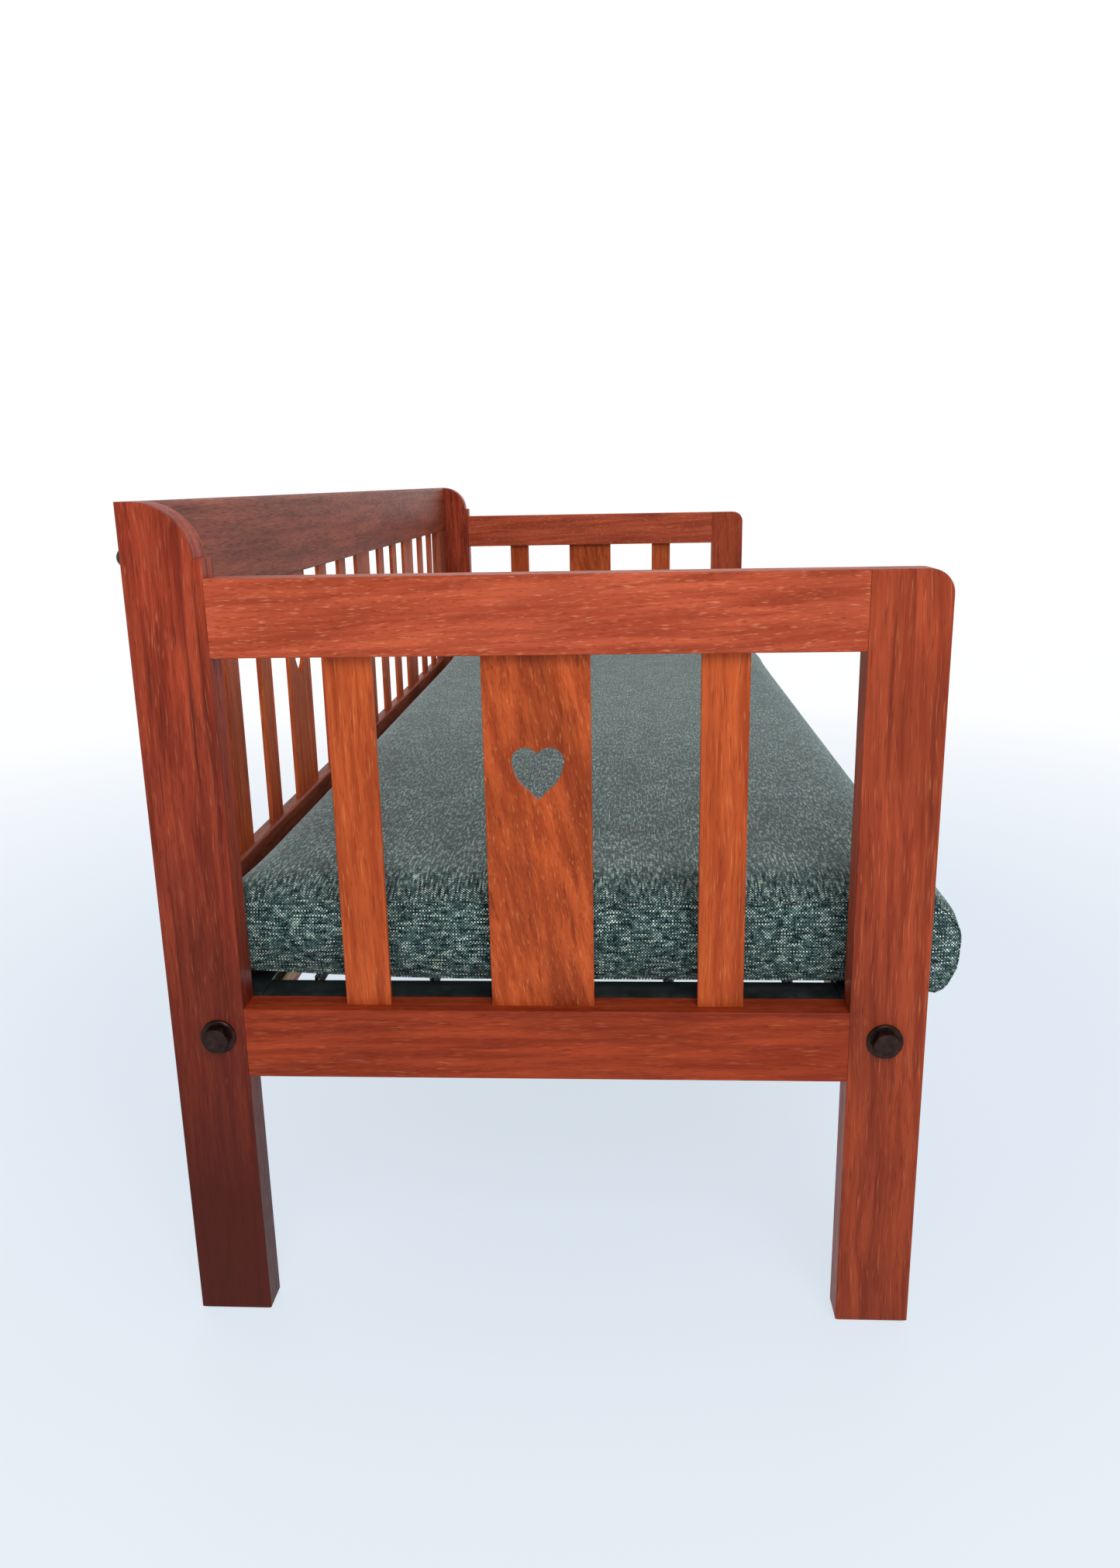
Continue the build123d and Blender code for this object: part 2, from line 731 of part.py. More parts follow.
def make_mesh_rod(name, side):
    """Rod across the end of the mesh."""
    low, high = mesh_span()
    with BuildPart() as bar:
        rod((mesh_rod_x(side), low, hook_z), "Y", mesh_rod_radius, high - low)
    save(bar, name)


def make_long_wires():
    """Wires of the mesh along the seat, lying over the end rods."""
    low, high = mesh_span()
    edge = mesh_rod_radius + mesh_wire_radius
    count = int((high - low - 2 * edge) / mesh_pitch)
    step = (high - low - 2 * edge) / count
    x_reach = mesh_rod_x(1) + 2 * mesh_rod_radius
    z = hook_z + mesh_rod_radius + mesh_wire_radius + thread_gap
    springs = spring_places()
    eye_reach = 2 * spring_wire
    with BuildPart() as wires:
        for index in range(count + 1):
            y = low + edge + index * step
            nearest = min(springs, key=lambda place: abs(place - y))
            if abs(nearest - y) < eye_reach + mesh_wire_radius:
                y = nearest + math.copysign(eye_reach + mesh_wire_radius, y - nearest)
            rod((-x_reach, y, z), "X", mesh_wire_radius, 2 * x_reach)
    save(wires, "mesh_long_wires")


def make_cross_wires():
    """Wires of the mesh across the seat, under the long wires."""
    low, high = mesh_span()
    x_reach = mesh_rod_x(1) - cross_pitch / 2
    count = int(2 * x_reach / cross_pitch)
    step = 2 * x_reach / count
    z = hook_z + mesh_rod_radius - mesh_wire_radius
    with BuildPart() as wires:
        for index in range(count + 1):
            rod((-x_reach + index * step, low, z), "Y", mesh_wire_radius, high - low)
    save(wires, "mesh_cross_wires")


def cushion_outline(inset):
    """Outline of the cushion across the seat, set in by a wall's thickness."""
    rear = rear_face - cushion_back_gap - inset
    front = front_face - front_overhang + inset
    low = base_top + cushion_rest_gap + inset
    high = base_top + cushion_rest_gap + cushion_thickness - inset
    run = cushion_nose[0] - inset
    drop = cushion_nose[1] - inset
    step_y = front_bolt_y - seat_rail_thickness / 2 + inset
    hang = front + cushion_front_droop
    back = cushion_rear_radius - inset
    foot = cushion_low_radius - inset
    Line((rear - back, high), (front + run, high))
    EllipticalCenterArc((front + run, high - drop), run, drop, start_angle=90, arc_size=90)
    Line((front, high - drop), (hang, low - cushion_front_droop))
    Line((hang, low - cushion_front_droop), (step_y, low - steel))
    Line((step_y, low - steel), (step_y + seat_rail_thickness, low))
    Line((step_y + seat_rail_thickness, low), (rear - foot, low))
    RadiusArc((rear - foot, low), (rear, low + foot), -foot)
    Line((rear, low + foot), (rear, high - back))
    RadiusArc((rear, high - back), (rear - back, high), -back)


def cushion_solid(inset):
    """The cushion's solid, set in by a wall's thickness."""
    with BuildPart() as pad:
        with BuildSketch(Plane.YZ.offset(-inner_x + cushion_left_gap + inset)):
            with BuildLine():
                cushion_outline(inset)
            make_face()
        extrude(amount=2 * (inner_x - inset) - cushion_left_gap - cushion_right_gap)
        ends = pad.faces().filter_by(Axis.X)
        fillet(ends.edges(), radius=cushion_end_radius - inset)
    return pad


def make_cushion():
    """Foam core in its sewn cover."""
    foam = cushion_solid(cover_thickness + cushion_rest_gap)
    save(foam, "cushion_foam")
    outside = cushion_solid(0)
    cavity = cushion_solid(cover_thickness)
    with BuildPart() as cover:
        add(outside.part)
        add(cavity.part, mode=Mode.SUBTRACT)
    save(cover, "cushion_cover")


for word, side in SIDES.items():
    make_rear_post(f"{word}_rear_post", side)
    make_front_post(f"{word}_front_post", side)
    make_end_rail(f"{word}_top_rail", side, top_rail_low, top_rail_height, -1)
    make_end_rail(f"{word}_bottom_rail", side, bottom_rail_low, bottom_rail_height, 1)
    for slat_name, (y_low, y_high) in zip(("front_slat", "heart_slat", "rear_slat"), end_slats()):
        make_end_slat(f"{word}_{slat_name}", side, y_low, y_high, slat_name == "heart_slat")
    make_back_stile(f"back_{word}_stile", side)
    make_end_bar(f"base_{word}_bar", side)
    make_springs(f"{word}_end_springs", side)
    make_mesh_rod(f"{word}_mesh_rod", side)
    for rail_name, y_mid, inward in seat_rail_lines():
        make_bolt(f"{word}_{rail_name}_bolt", side, y_mid)

make_back_rail("back_top_rail", back_top_low, back_rail_height, back_crown, -1)
make_back_rail("back_bottom_rail", back_low_low, back_low_rail_height, back_crown / 2, 1)
for number, (x_low, x_high, letter) in enumerate(back_slats(), start=1):
    kind = "heart_slat" if letter == "h" else "slat"
    make_back_slat(f"back_{kind}_{number:02d}", x_low, x_high, letter)

for rail_name, y_mid, inward in seat_rail_lines():
    make_seat_rail(f"{rail_name}_seat_rail", y_mid, inward)
    make_cleat(f"{rail_name}_cleat", y_mid + inward * seat_rail_thickness / 2, inward)
    make_side_bar(f"base_{rail_name}_bar", y_mid, inward)

make_cleat_screws()
make_washers()
make_barrel_nuts()
make_rail_dowels()
make_lock_screws()
make_corner_rivets()
make_long_wires()
make_cross_wires()
make_cushion()
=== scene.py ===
import math
import random

import bmesh
import bpy
from mathutils import Matrix, Vector


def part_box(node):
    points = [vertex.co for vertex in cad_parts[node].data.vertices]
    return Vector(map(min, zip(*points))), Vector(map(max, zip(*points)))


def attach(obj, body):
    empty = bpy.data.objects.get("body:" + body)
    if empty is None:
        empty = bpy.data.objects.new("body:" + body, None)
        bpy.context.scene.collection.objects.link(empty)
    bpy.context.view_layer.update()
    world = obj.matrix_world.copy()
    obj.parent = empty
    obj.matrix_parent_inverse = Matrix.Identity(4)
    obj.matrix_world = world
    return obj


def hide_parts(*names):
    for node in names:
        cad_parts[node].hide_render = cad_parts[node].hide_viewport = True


# Daybed in red hardwood: varnished wood, painted and browned steel, sprung base, woven seat cushion.
# Metres.  X runs along the seat, +Y to the slatted back, +Z up, as in the frame.

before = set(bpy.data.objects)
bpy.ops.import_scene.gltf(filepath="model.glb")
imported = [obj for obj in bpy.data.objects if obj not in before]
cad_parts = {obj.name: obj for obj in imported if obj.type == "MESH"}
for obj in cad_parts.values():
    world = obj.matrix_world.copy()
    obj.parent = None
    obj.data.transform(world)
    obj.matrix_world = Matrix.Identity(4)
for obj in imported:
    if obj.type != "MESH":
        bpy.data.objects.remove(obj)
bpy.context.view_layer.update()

MM = 0.001
SIDES = {"left": -1, "right": 1}


# ---- helpers ----------------------------------------------------------------------------------

def linear(colour):
    """Linear RGBA of an sRGB hex colour."""
    channels = [int(colour[place:place + 2], 16) / 255 for place in (1, 3, 5)]
    flat = [c / 12.92 if c <= 0.04045 else ((c + 0.055) / 1.055) ** 2.4 for c in channels]
    return (*flat, 1.0)


def add(tree, kind, inputs=None, stops=None, **settings):
    """Add a shader node: settings are its properties, inputs are values or sockets to link."""
    made = tree.nodes.new("ShaderNode" + kind)
    for name, value in settings.items():
        setattr(made, name, value)
    for key, value in (inputs or {}).items():
        if isinstance(value, bpy.types.NodeSocket):
            tree.links.new(value, made.inputs[key])
        else:
            made.inputs[key].default_value = value
    for index, (place, colour) in enumerate(stops or ()):
        elements = made.color_ramp.elements
        stop = elements[index] if index < len(elements) else elements.new(place)
        stop.position = place
        stop.color = colour
    return made


def new_material(name, **values):
    """A material with its Principled shader, whose sockets are named in plain lower case."""
    made = bpy.data.materials.new(name)
    made.use_nodes = True
    shader = made.node_tree.nodes["Principled BSDF"]
    for key, value in values.items():
        shader.inputs[key.replace("_", " ").title().replace("Ior", "IOR")].default_value = value
    return made, made.node_tree, shader


def grey(level):
    """A grey stop for a ramp that works as a mask."""
    return (level, level, level, 1.0)


def dress(name, material):
    """Give a CAD node its finish."""
    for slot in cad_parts[name].material_slots:
        slot.material = material


def place_mesh(name, mesh, material):
    """A smooth-shaded object that shows a mesh in one material, in place."""
    mesh.name = name
    mesh.materials.clear()
    mesh.materials.append(material)
    for face in mesh.polygons:
        face.use_smooth = True
    piece = bpy.data.objects.new(name, mesh)
    bpy.context.scene.collection.objects.link(piece)
    return piece


def place_build(name, build, material):
    """The same from a bmesh, which is used up."""
    mesh = bpy.data.meshes.new(name)
    build.to_mesh(mesh)
    build.free()
    return place_mesh(name, mesh, material)


def finished_mesh(source):
    """The mesh that an object shows, with its modifiers or its bevel, and the object removed."""
    bpy.context.scene.collection.objects.link(source)
    bpy.context.view_layer.update()
    graph = bpy.context.evaluated_depsgraph_get()
    made = bpy.data.meshes.new_from_object(source.evaluated_get(graph))
    bpy.data.objects.remove(source)
    return made


# ---- wood -------------------------------------------------------------------------------------

# tones of the hardwood, from its dark streaks to its light flecks
TONES = {
    "rear_post": ("#46150B", "#892E1A", "#AE462B", "#CD714F"),
    "front_post": ("#5A1E0E", "#8E361D", "#AD492A", "#D57D4F"),
    "end_rail": ("#742716", "#A14127", "#BF5738", "#E0946A"),
    "low_rail": ("#5B1908", "#862D13", "#A23E1E", "#B9643B"),
    "slat": ("#6E250B", "#A1411B", "#C05729", "#D98B4F"),
    "back_rail": ("#4C1C11", "#7D3621", "#9D4D34", "#BC7755"),
}


def grain_scale(along, across_mm, along_mm):
    """Mapping scale whose features are that wide and that long."""
    across = 1 / (across_mm * MM)
    length = 1 / (along_mm * MM)
    return tuple(length if axis == along else across for axis in "XYZ")


def varnished_hardwood(name, along, tone, streaks=0.5, slant=0.0, figure=0.5, fleck_mm=30, foot_shade=0.0):
    """Planed red hardwood under satin varnish, with its grain along an axis.

    The eye sees a warm red-brown board with faint ring figure, darker mineral streaks along the
    grain, short open pores, and lighter flecks; the varnish gives a soft, slightly blurred shine.
    Some boards are painted darker towards the floor: painted shade, where less light reaches low down.
    """
    dice = random.Random(name)
    dark, middle, light, fleck = (linear(colour) for colour in TONES[tone])
    made, tree, shader = new_material(name, roughness=0.42, specular_ior_level=0.14)
    here = add(tree, "TexCoord").outputs["Object"]
    offset = [dice.uniform(-4, 4) for _ in range(3)]
    turn = {"X": (0, 0, slant), "Y": (slant, 0, 0), "Z": (slant, slant, 0)}[along]
    board = add(tree, "Mapping", {"Vector": here, "Location": offset, "Rotation": turn})
    board = board.outputs["Vector"]

    # slow waves bend the grain sideways
    wave_map = add(tree, "Mapping", {"Vector": board, "Scale": grain_scale(along, 55, 190)})
    wave = add(tree, "TexNoise", {"Vector": wave_map.outputs[0], "Scale": 1.0, "Detail": 2.0})
    centred = add(tree, "VectorMath", {0: wave.outputs["Color"], 1: (0.5, 0.5, 0.5)},
                  operation="SUBTRACT")
    sway = tuple(0.0 if axis == along else 14 * MM for axis in "XYZ")
    bend = add(tree, "VectorMath", {0: centred.outputs[0], 1: sway}, operation="MULTIPLY")
    bent = add(tree, "VectorMath", {0: board, 1: bend.outputs[0]}, operation="ADD").outputs[0]

    # growth bands, 9 mm apart on average
    band_map = add(tree, "Mapping", {"Vector": bent, "Scale": grain_scale(along, 9, 210)})
    bands = add(tree, "TexNoise", {"Vector": band_map.outputs[0], "Scale": 1.0, "Detail": 3.0,
                                   "Roughness": 0.55})
    band_mask = add(tree, "ValToRGB", {"Fac": bands.outputs["Fac"]},
                    stops=[(0.38, grey(0.0)), (0.62, grey(1.0))])
    body_colour = add(tree, "Mix", {0: band_mask.outputs["Color"], 6: middle, 7: light},
                      data_type="RGBA").outputs[2]

    # broad patches and the dark mineral streaks
    patch_map = add(tree, "Mapping", {"Vector": bent, "Scale": grain_scale(along, 42, 170)})
    patches = add(tree, "TexNoise", {"Vector": patch_map.outputs[0], "Scale": 1.0, "Detail": 2.0})
    patch_mask = add(tree, "ValToRGB", {"Fac": patches.outputs["Fac"]},
                     stops=[(0.42, grey(0.0)), (0.72, grey(figure))])
    body_colour = add(tree, "Mix", {0: patch_mask.outputs["Color"], 6: body_colour, 7: dark},
                      data_type="RGBA").outputs[2]
    streak_map = add(tree, "Mapping", {"Vector": bent, "Scale": grain_scale(along, 7, 330)})
    streak = add(tree, "TexNoise", {"Vector": streak_map.outputs[0], "Scale": 1.0, "Detail": 3.0,
                                    "Roughness": 0.65})
    streak_mask = add(tree, "ValToRGB", {"Fac": streak.outputs["Fac"]},
                      stops=[(0.56, grey(0.0)), (0.70, grey(streaks))])
    body_colour = add(tree, "Mix", {0: streak_mask.outputs["Color"], 6: body_colour, 7: dark},
                      data_type="RGBA").outputs[2]

    # light flecks and open pores, drawn 1.3 mm wide so that they show from two metres
    fleck_map = add(tree, "Mapping", {"Vector": bent, "Scale": grain_scale(along, 1.7, fleck_mm)})
    flecks = add(tree, "TexNoise", {"Vector": fleck_map.outputs[0], "Scale": 1.0, "Detail": 1.0})
    fleck_mask = add(tree, "ValToRGB", {"Fac": flecks.outputs["Fac"]},
                     stops=[(0.60, grey(0.0)), (0.80, grey(0.5))])
    body_colour = add(tree, "Mix", {0: fleck_mask.outputs["Color"], 6: body_colour, 7: fleck},
                      data_type="RGBA").outputs[2]
    pore_map = add(tree, "Mapping", {"Vector": bent, "Location": (0.3, 0.7, 0.1),
                                     "Scale": grain_scale(along, 1.2, 0.8 * fleck_mm)})
    pores = add(tree, "TexNoise", {"Vector": pore_map.outputs[0], "Scale": 1.0, "Detail": 1.0})
    pore_mask = add(tree, "ValToRGB", {"Fac": pores.outputs["Fac"]},
                    stops=[(0.58, grey(0.0)), (0.74, grey(0.55))])
    body_colour = add(tree, "Mix", {0: pore_mask.outputs["Color"], 6: body_colour, 7: dark},
                      data_type="RGBA").outputs[2]

    # painted shade: the board is mixed towards its dark tone the nearer it is to the floor
    if foot_shade:
        height = add(tree, "SeparateXYZ", {0: here}).outputs["Z"]
        foot_shade_mask = add(tree, "MapRange", {"Value": height, "From Min": 0.15, "From Max": 0.75,
                                           "To Min": foot_shade, "To Max": 0.0})
        body_colour = add(tree, "Mix", {0: foot_shade_mask.outputs[0], 6: body_colour, 7: dark},
                          data_type="RGBA").outputs[2]
    tree.links.new(body_colour, shader.inputs["Base Color"])
    rough = add(tree, "MapRange", {"Value": pores.outputs["Fac"], "From Min": 0.4, "From Max": 0.7,
                                   "To Min": 0.38, "To Max": 0.52})
    tree.links.new(rough.outputs[0], shader.inputs["Roughness"])
    relief = add(tree, "Math", {0: band_mask.outputs["Color"], 1: pore_mask.outputs["Color"]},
                 operation="SUBTRACT")
    bump = add(tree, "Bump", {"Height": relief.outputs[0], "Strength": 0.18, "Distance": 0.3 * MM})
    tree.links.new(bump.outputs["Normal"], shader.inputs["Normal"])
    return made


def dress_wood():
    """Every wooden CAD node gets a board of its own."""
    for side in SIDES:
        boards = {
            f"{side}_rear_post": dict(along="Z", tone="rear_post", streaks=0.8, figure=0.6,
                                      fleck_mm=26, foot_shade=0.95),
            f"{side}_front_post": dict(along="Z", tone="front_post", streaks=0.45, slant=0.02,
                                       figure=0.45, fleck_mm=38, foot_shade=0.3),
            f"{side}_top_rail": dict(along="Y", tone="end_rail", streaks=0.35, slant=0.05,
                                     fleck_mm=12),
            f"{side}_bottom_rail": dict(along="Y", tone="low_rail", streaks=0.3, slant=0.02,
                                        figure=0.4, fleck_mm=22),
            f"{side}_front_slat": dict(along="Z", tone="slat", streaks=0.45, figure=0.4),
            f"{side}_heart_slat": dict(along="Z", tone="slat", streaks=0.7, slant=0.16,
                                       figure=0.7, fleck_mm=34),
            f"{side}_rear_slat": dict(along="Z", tone="slat", streaks=0.45, slant=0.03, figure=0.4),
            f"back_{side}_stile": dict(along="Z", tone="back_rail"),
        }
        for name, look in boards.items():
            dress(name, varnished_hardwood(f"{name}_wood", **look))
    for rail in ("back_top_rail", "back_bottom_rail", "rear_seat_rail", "front_seat_rail"):
        dress(rail, varnished_hardwood(f"{rail}_wood", "X", "back_rail", streaks=0.4))
    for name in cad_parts:
        if name.startswith(("back_slat", "back_heart_slat")):
            dress(name, varnished_hardwood(f"{name}_wood", "Z", "slat"))


def planed_softwood():
    """Unvarnished pine of the hidden cleats and dowels: pale, dull, with soft brown bands."""
    made, tree, shader = new_material("planed_softwood", roughness=0.72, ior=1.5)
    here = add(tree, "TexCoord").outputs["Object"]
    band_map = add(tree, "Mapping", {"Vector": here, "Scale": grain_scale("X", 5, 260)})
    bands = add(tree, "TexNoise", {"Vector": band_map.outputs[0], "Scale": 1.0, "Detail": 3.0})
    tone = add(tree, "ValToRGB", {"Fac": bands.outputs["Fac"]},
               stops=[(0.35, linear("#8F6A42")), (0.6, linear("#B89263")), (0.75, linear("#C9A878"))])
    tree.links.new(tone.outputs["Color"], shader.inputs["Base Color"])
    bump = add(tree, "Bump", {"Height": bands.outputs["Fac"], "Strength": 0.25, "Distance": 0.3 * MM})
    tree.links.new(bump.outputs["Normal"], shader.inputs["Normal"])
    return made


# ---- metal ------------------------------------------------------------------------------------

def mottled_metal(name, dark, light, patch_mm, roughness, spread, metallic, bump_mm=0.05):
    """A metal surface whose colour and gloss drift a little from place to place."""
    made, tree, shader = new_material(name, metallic=metallic)
    here = add(tree, "TexCoord").outputs["Object"]
    cloud = add(tree, "TexNoise", {"Vector": here, "Scale": 1 / (patch_mm * MM), "Detail": 4.0,
                                   "Roughness": 0.6})
    tone = add(tree, "ValToRGB", {"Fac": cloud.outputs["Fac"]},
               stops=[(0.35, linear(dark)), (0.68, linear(light))])
    tree.links.new(tone.outputs["Color"], shader.inputs["Base Color"])
    gloss = add(tree, "MapRange", {"Value": cloud.outputs["Fac"], "From Min": 0.35, "From Max": 0.65,
                                   "To Min": roughness - spread, "To Max": roughness + spread})
    tree.links.new(gloss.outputs[0], shader.inputs["Roughness"])
    grit = add(tree, "TexNoise", {"Vector": here, "Scale": 1 / (1.2 * MM), "Detail": 2.0})
    bump = add(tree, "Bump", {"Height": grit.outputs["Fac"], "Strength": 0.4,
                              "Distance": bump_mm * MM})
    tree.links.new(bump.outputs["Normal"], shader.inputs["Normal"])
    return made


# forged and turned, then browned and lacquered: nearly black, with a warm small highlight
BROWNED_STEEL = mottled_metal("browned_steel", "#1E1210", "#3B2722", 9, 0.36, 0.08, 0.75)
# blackened dome, slightly green
BLACK_STEEL = mottled_metal("blackened_steel", "#0F1411", "#2A322B", 6, 0.45, 0.1, 0.6)
# rolled angle under old enamel: flat grey-black, with dull patches
ENAMELLED_ANGLE = mottled_metal("enamelled_angle", "#14191B", "#252B2D", 28, 0.55, 0.12, 0.0, 0.12)
# galvanised drawn wire: mid grey, patchy gloss
GALVANISED_WIRE = mottled_metal("galvanised_wire", "#6B6E70", "#A4A7A8", 14, 0.36, 0.1, 1.0)
# bright zinc plate on nuts and screws
ZINC_PLATE = mottled_metal("zinc_plate", "#9A9990", "#C3C2BA", 8, 0.3, 0.08, 1.0)
PLAIN_PINE = planed_softwood()


def dress_metal():
    """The steel CAD nodes and the hidden wooden ones."""
    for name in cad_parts:
        if name.endswith("_bolt") or name == "bolt_washers":
            dress(name, BROWNED_STEEL)
        elif name.startswith("base_") or name == "corner_rivets":
            dress(name, ENAMELLED_ANGLE)
        elif "mesh" in name or name.endswith("springs"):
            dress(name, GALVANISED_WIRE)
        elif name in ("barrel_nuts", "cleat_screws"):
            dress(name, ZINC_PLATE)
        elif name.endswith("cleat") or name == "rail_dowels":
            dress(name, PLAIN_PINE)
    dress("back_panel_screws", BLACK_STEEL)


# ---- springs ----------------------------------------------------------------------------------

SPRING_PITCH = 132 * MM     # from spring to spring
COIL_RADIUS = 6.5 * MM      # outside of a coil
WIRE_RADIUS = 1.1 * MM
WIRE_SIDES = 6
COIL_SIDES = 5
COIL_STEPS = 10             # of one turn
COIL_LEAD = 2.15            # climb of one turn, in wire radii
HOOK_RADIUS = 5.6 * MM      # middle of the wire, as are the eye's
EYE_RADIUS = 4.2 * MM
NECK = 7 * MM               # straight stretch between a coil and its hook or eye


def wire_ring(build, centre, start, axis, turn_axis, angle, steps, climb=0.0, sides=WIRE_SIDES):
    """Turn a round wire's section about an axis: a closed ring, or a helix where it climbs."""
    toward = (start - centre).normalized()
    section = Matrix.Translation(start) @ Matrix((toward, axis, turn_axis)).transposed().to_4x4()
    ring = bmesh.ops.create_circle(build, segments=sides, radius=WIRE_RADIUS)["verts"]
    flat = Matrix.Rotation(math.radians(90), 4, "X")
    bmesh.ops.transform(build, matrix=section @ flat, verts=ring)
    edges = list({edge for vert in ring for edge in vert.link_edges})
    closed = abs(angle - math.tau) < 1e-6 and not climb
    made = bmesh.ops.spin(build, geom=ring + edges, cent=centre, axis=axis, angle=angle, steps=steps,
                          dvec=axis * climb / steps, use_merge=closed)
    if not closed:
        last = [item for item in made["geom_last"] if isinstance(item, bmesh.types.BMEdge)]
        bmesh.ops.contextual_create(build, geom=edges)
        bmesh.ops.contextual_create(build, geom=last)


def straight_wire(build, start, end):
    """A short straight wire between two points."""
    reach = end - start
    turn = reach.to_track_quat("Z", "Y").to_matrix().to_4x4()
    place = Matrix.Translation((start + end) / 2) @ turn
    bmesh.ops.create_cone(build, cap_ends=True, segments=WIRE_SIDES, radius1=WIRE_RADIUS,
                          radius2=WIRE_RADIUS, depth=reach.length, matrix=place)


def end_springs(word, side):
    """Close-wound tension springs: a hook in the flange, a coil, an eye round the mesh rod."""
    low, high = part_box(f"{word}_end_springs")
    rod_low, rod_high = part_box(f"{word}_mesh_rod")
    rod = (rod_low + rod_high) / 2
    outer = high.x if side > 0 else low.x
    hook_x = outer - side * (HOOK_RADIUS + WIRE_RADIUS)
    first = low.y + COIL_RADIUS
    count = round((high.y - low.y - 2 * COIL_RADIUS) / SPRING_PITCH) + 1
    along = Vector((-side, 0, 0))
    across = Vector((0, 1, 0))
    build = bmesh.new()
    for index in range(count):
        y = first + index * SPRING_PITCH
        hook = Vector((hook_x, y, rod.z))
        eye = Vector((rod.x, y, rod.z))
        wire_ring(build, hook, hook + along * HOOK_RADIUS, across, along, math.tau, 24)
        wire_ring(build, eye, eye - along * EYE_RADIUS, across, along, math.tau, 20)
        coil_start = hook + along * (HOOK_RADIUS + NECK)
        coil_end = eye - along * (EYE_RADIUS + NECK)
        length = (coil_end - coil_start).length
        turns = int(length / (COIL_LEAD * WIRE_RADIUS))
        up = Vector((0, 0, COIL_RADIUS - WIRE_RADIUS))
        wire_ring(build, coil_start, coil_start + up, along, across, turns * math.tau,
                  turns * COIL_STEPS, length, COIL_SIDES)
        straight_wire(build, hook + along * HOOK_RADIUS, coil_start + up)
        straight_wire(build, coil_end + up, eye - along * EYE_RADIUS)
    bmesh.ops.recalc_face_normals(build, faces=build.faces)
    piece = place_build(f"{word}_coil_springs", build, GALVANISED_WIRE)
    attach(piece, "frame")
    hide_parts(f"{word}_end_springs")


# ---- cushion ----------------------------------------------------------------------------------

THREAD = 1.7 * MM       # thread spacing of the weave, drawn a little coarse so that it shows
THREAD_STRIDE = 0.73    # step through the noise from one thread to the next
WEFT_RUN = 15 * MM      # length over which a thread thickens and thins
WARP_RUN = 17 * MM
SKIN_STEP = 14 * MM     # mesh of the cover before its last smoothing
PRESSURE = 12.0         # of the foam against the cover
CLOTH_STEPS = 20
SWELL = 9 * MM          # most that the cover stands off the foam
CURL_START = 0.1        # Y where the rear underside starts to rise
REAR_LIFT = 13 * MM     # how far it has risen at the rear edge
END_FACING = math.sqrt(0.5)     # a face or corner turned halfway to the end
SEAM_DEPTH = 9 * MM     # end seams, in from the cushion's ends
SEAM_RADIUS = 1.0 * MM


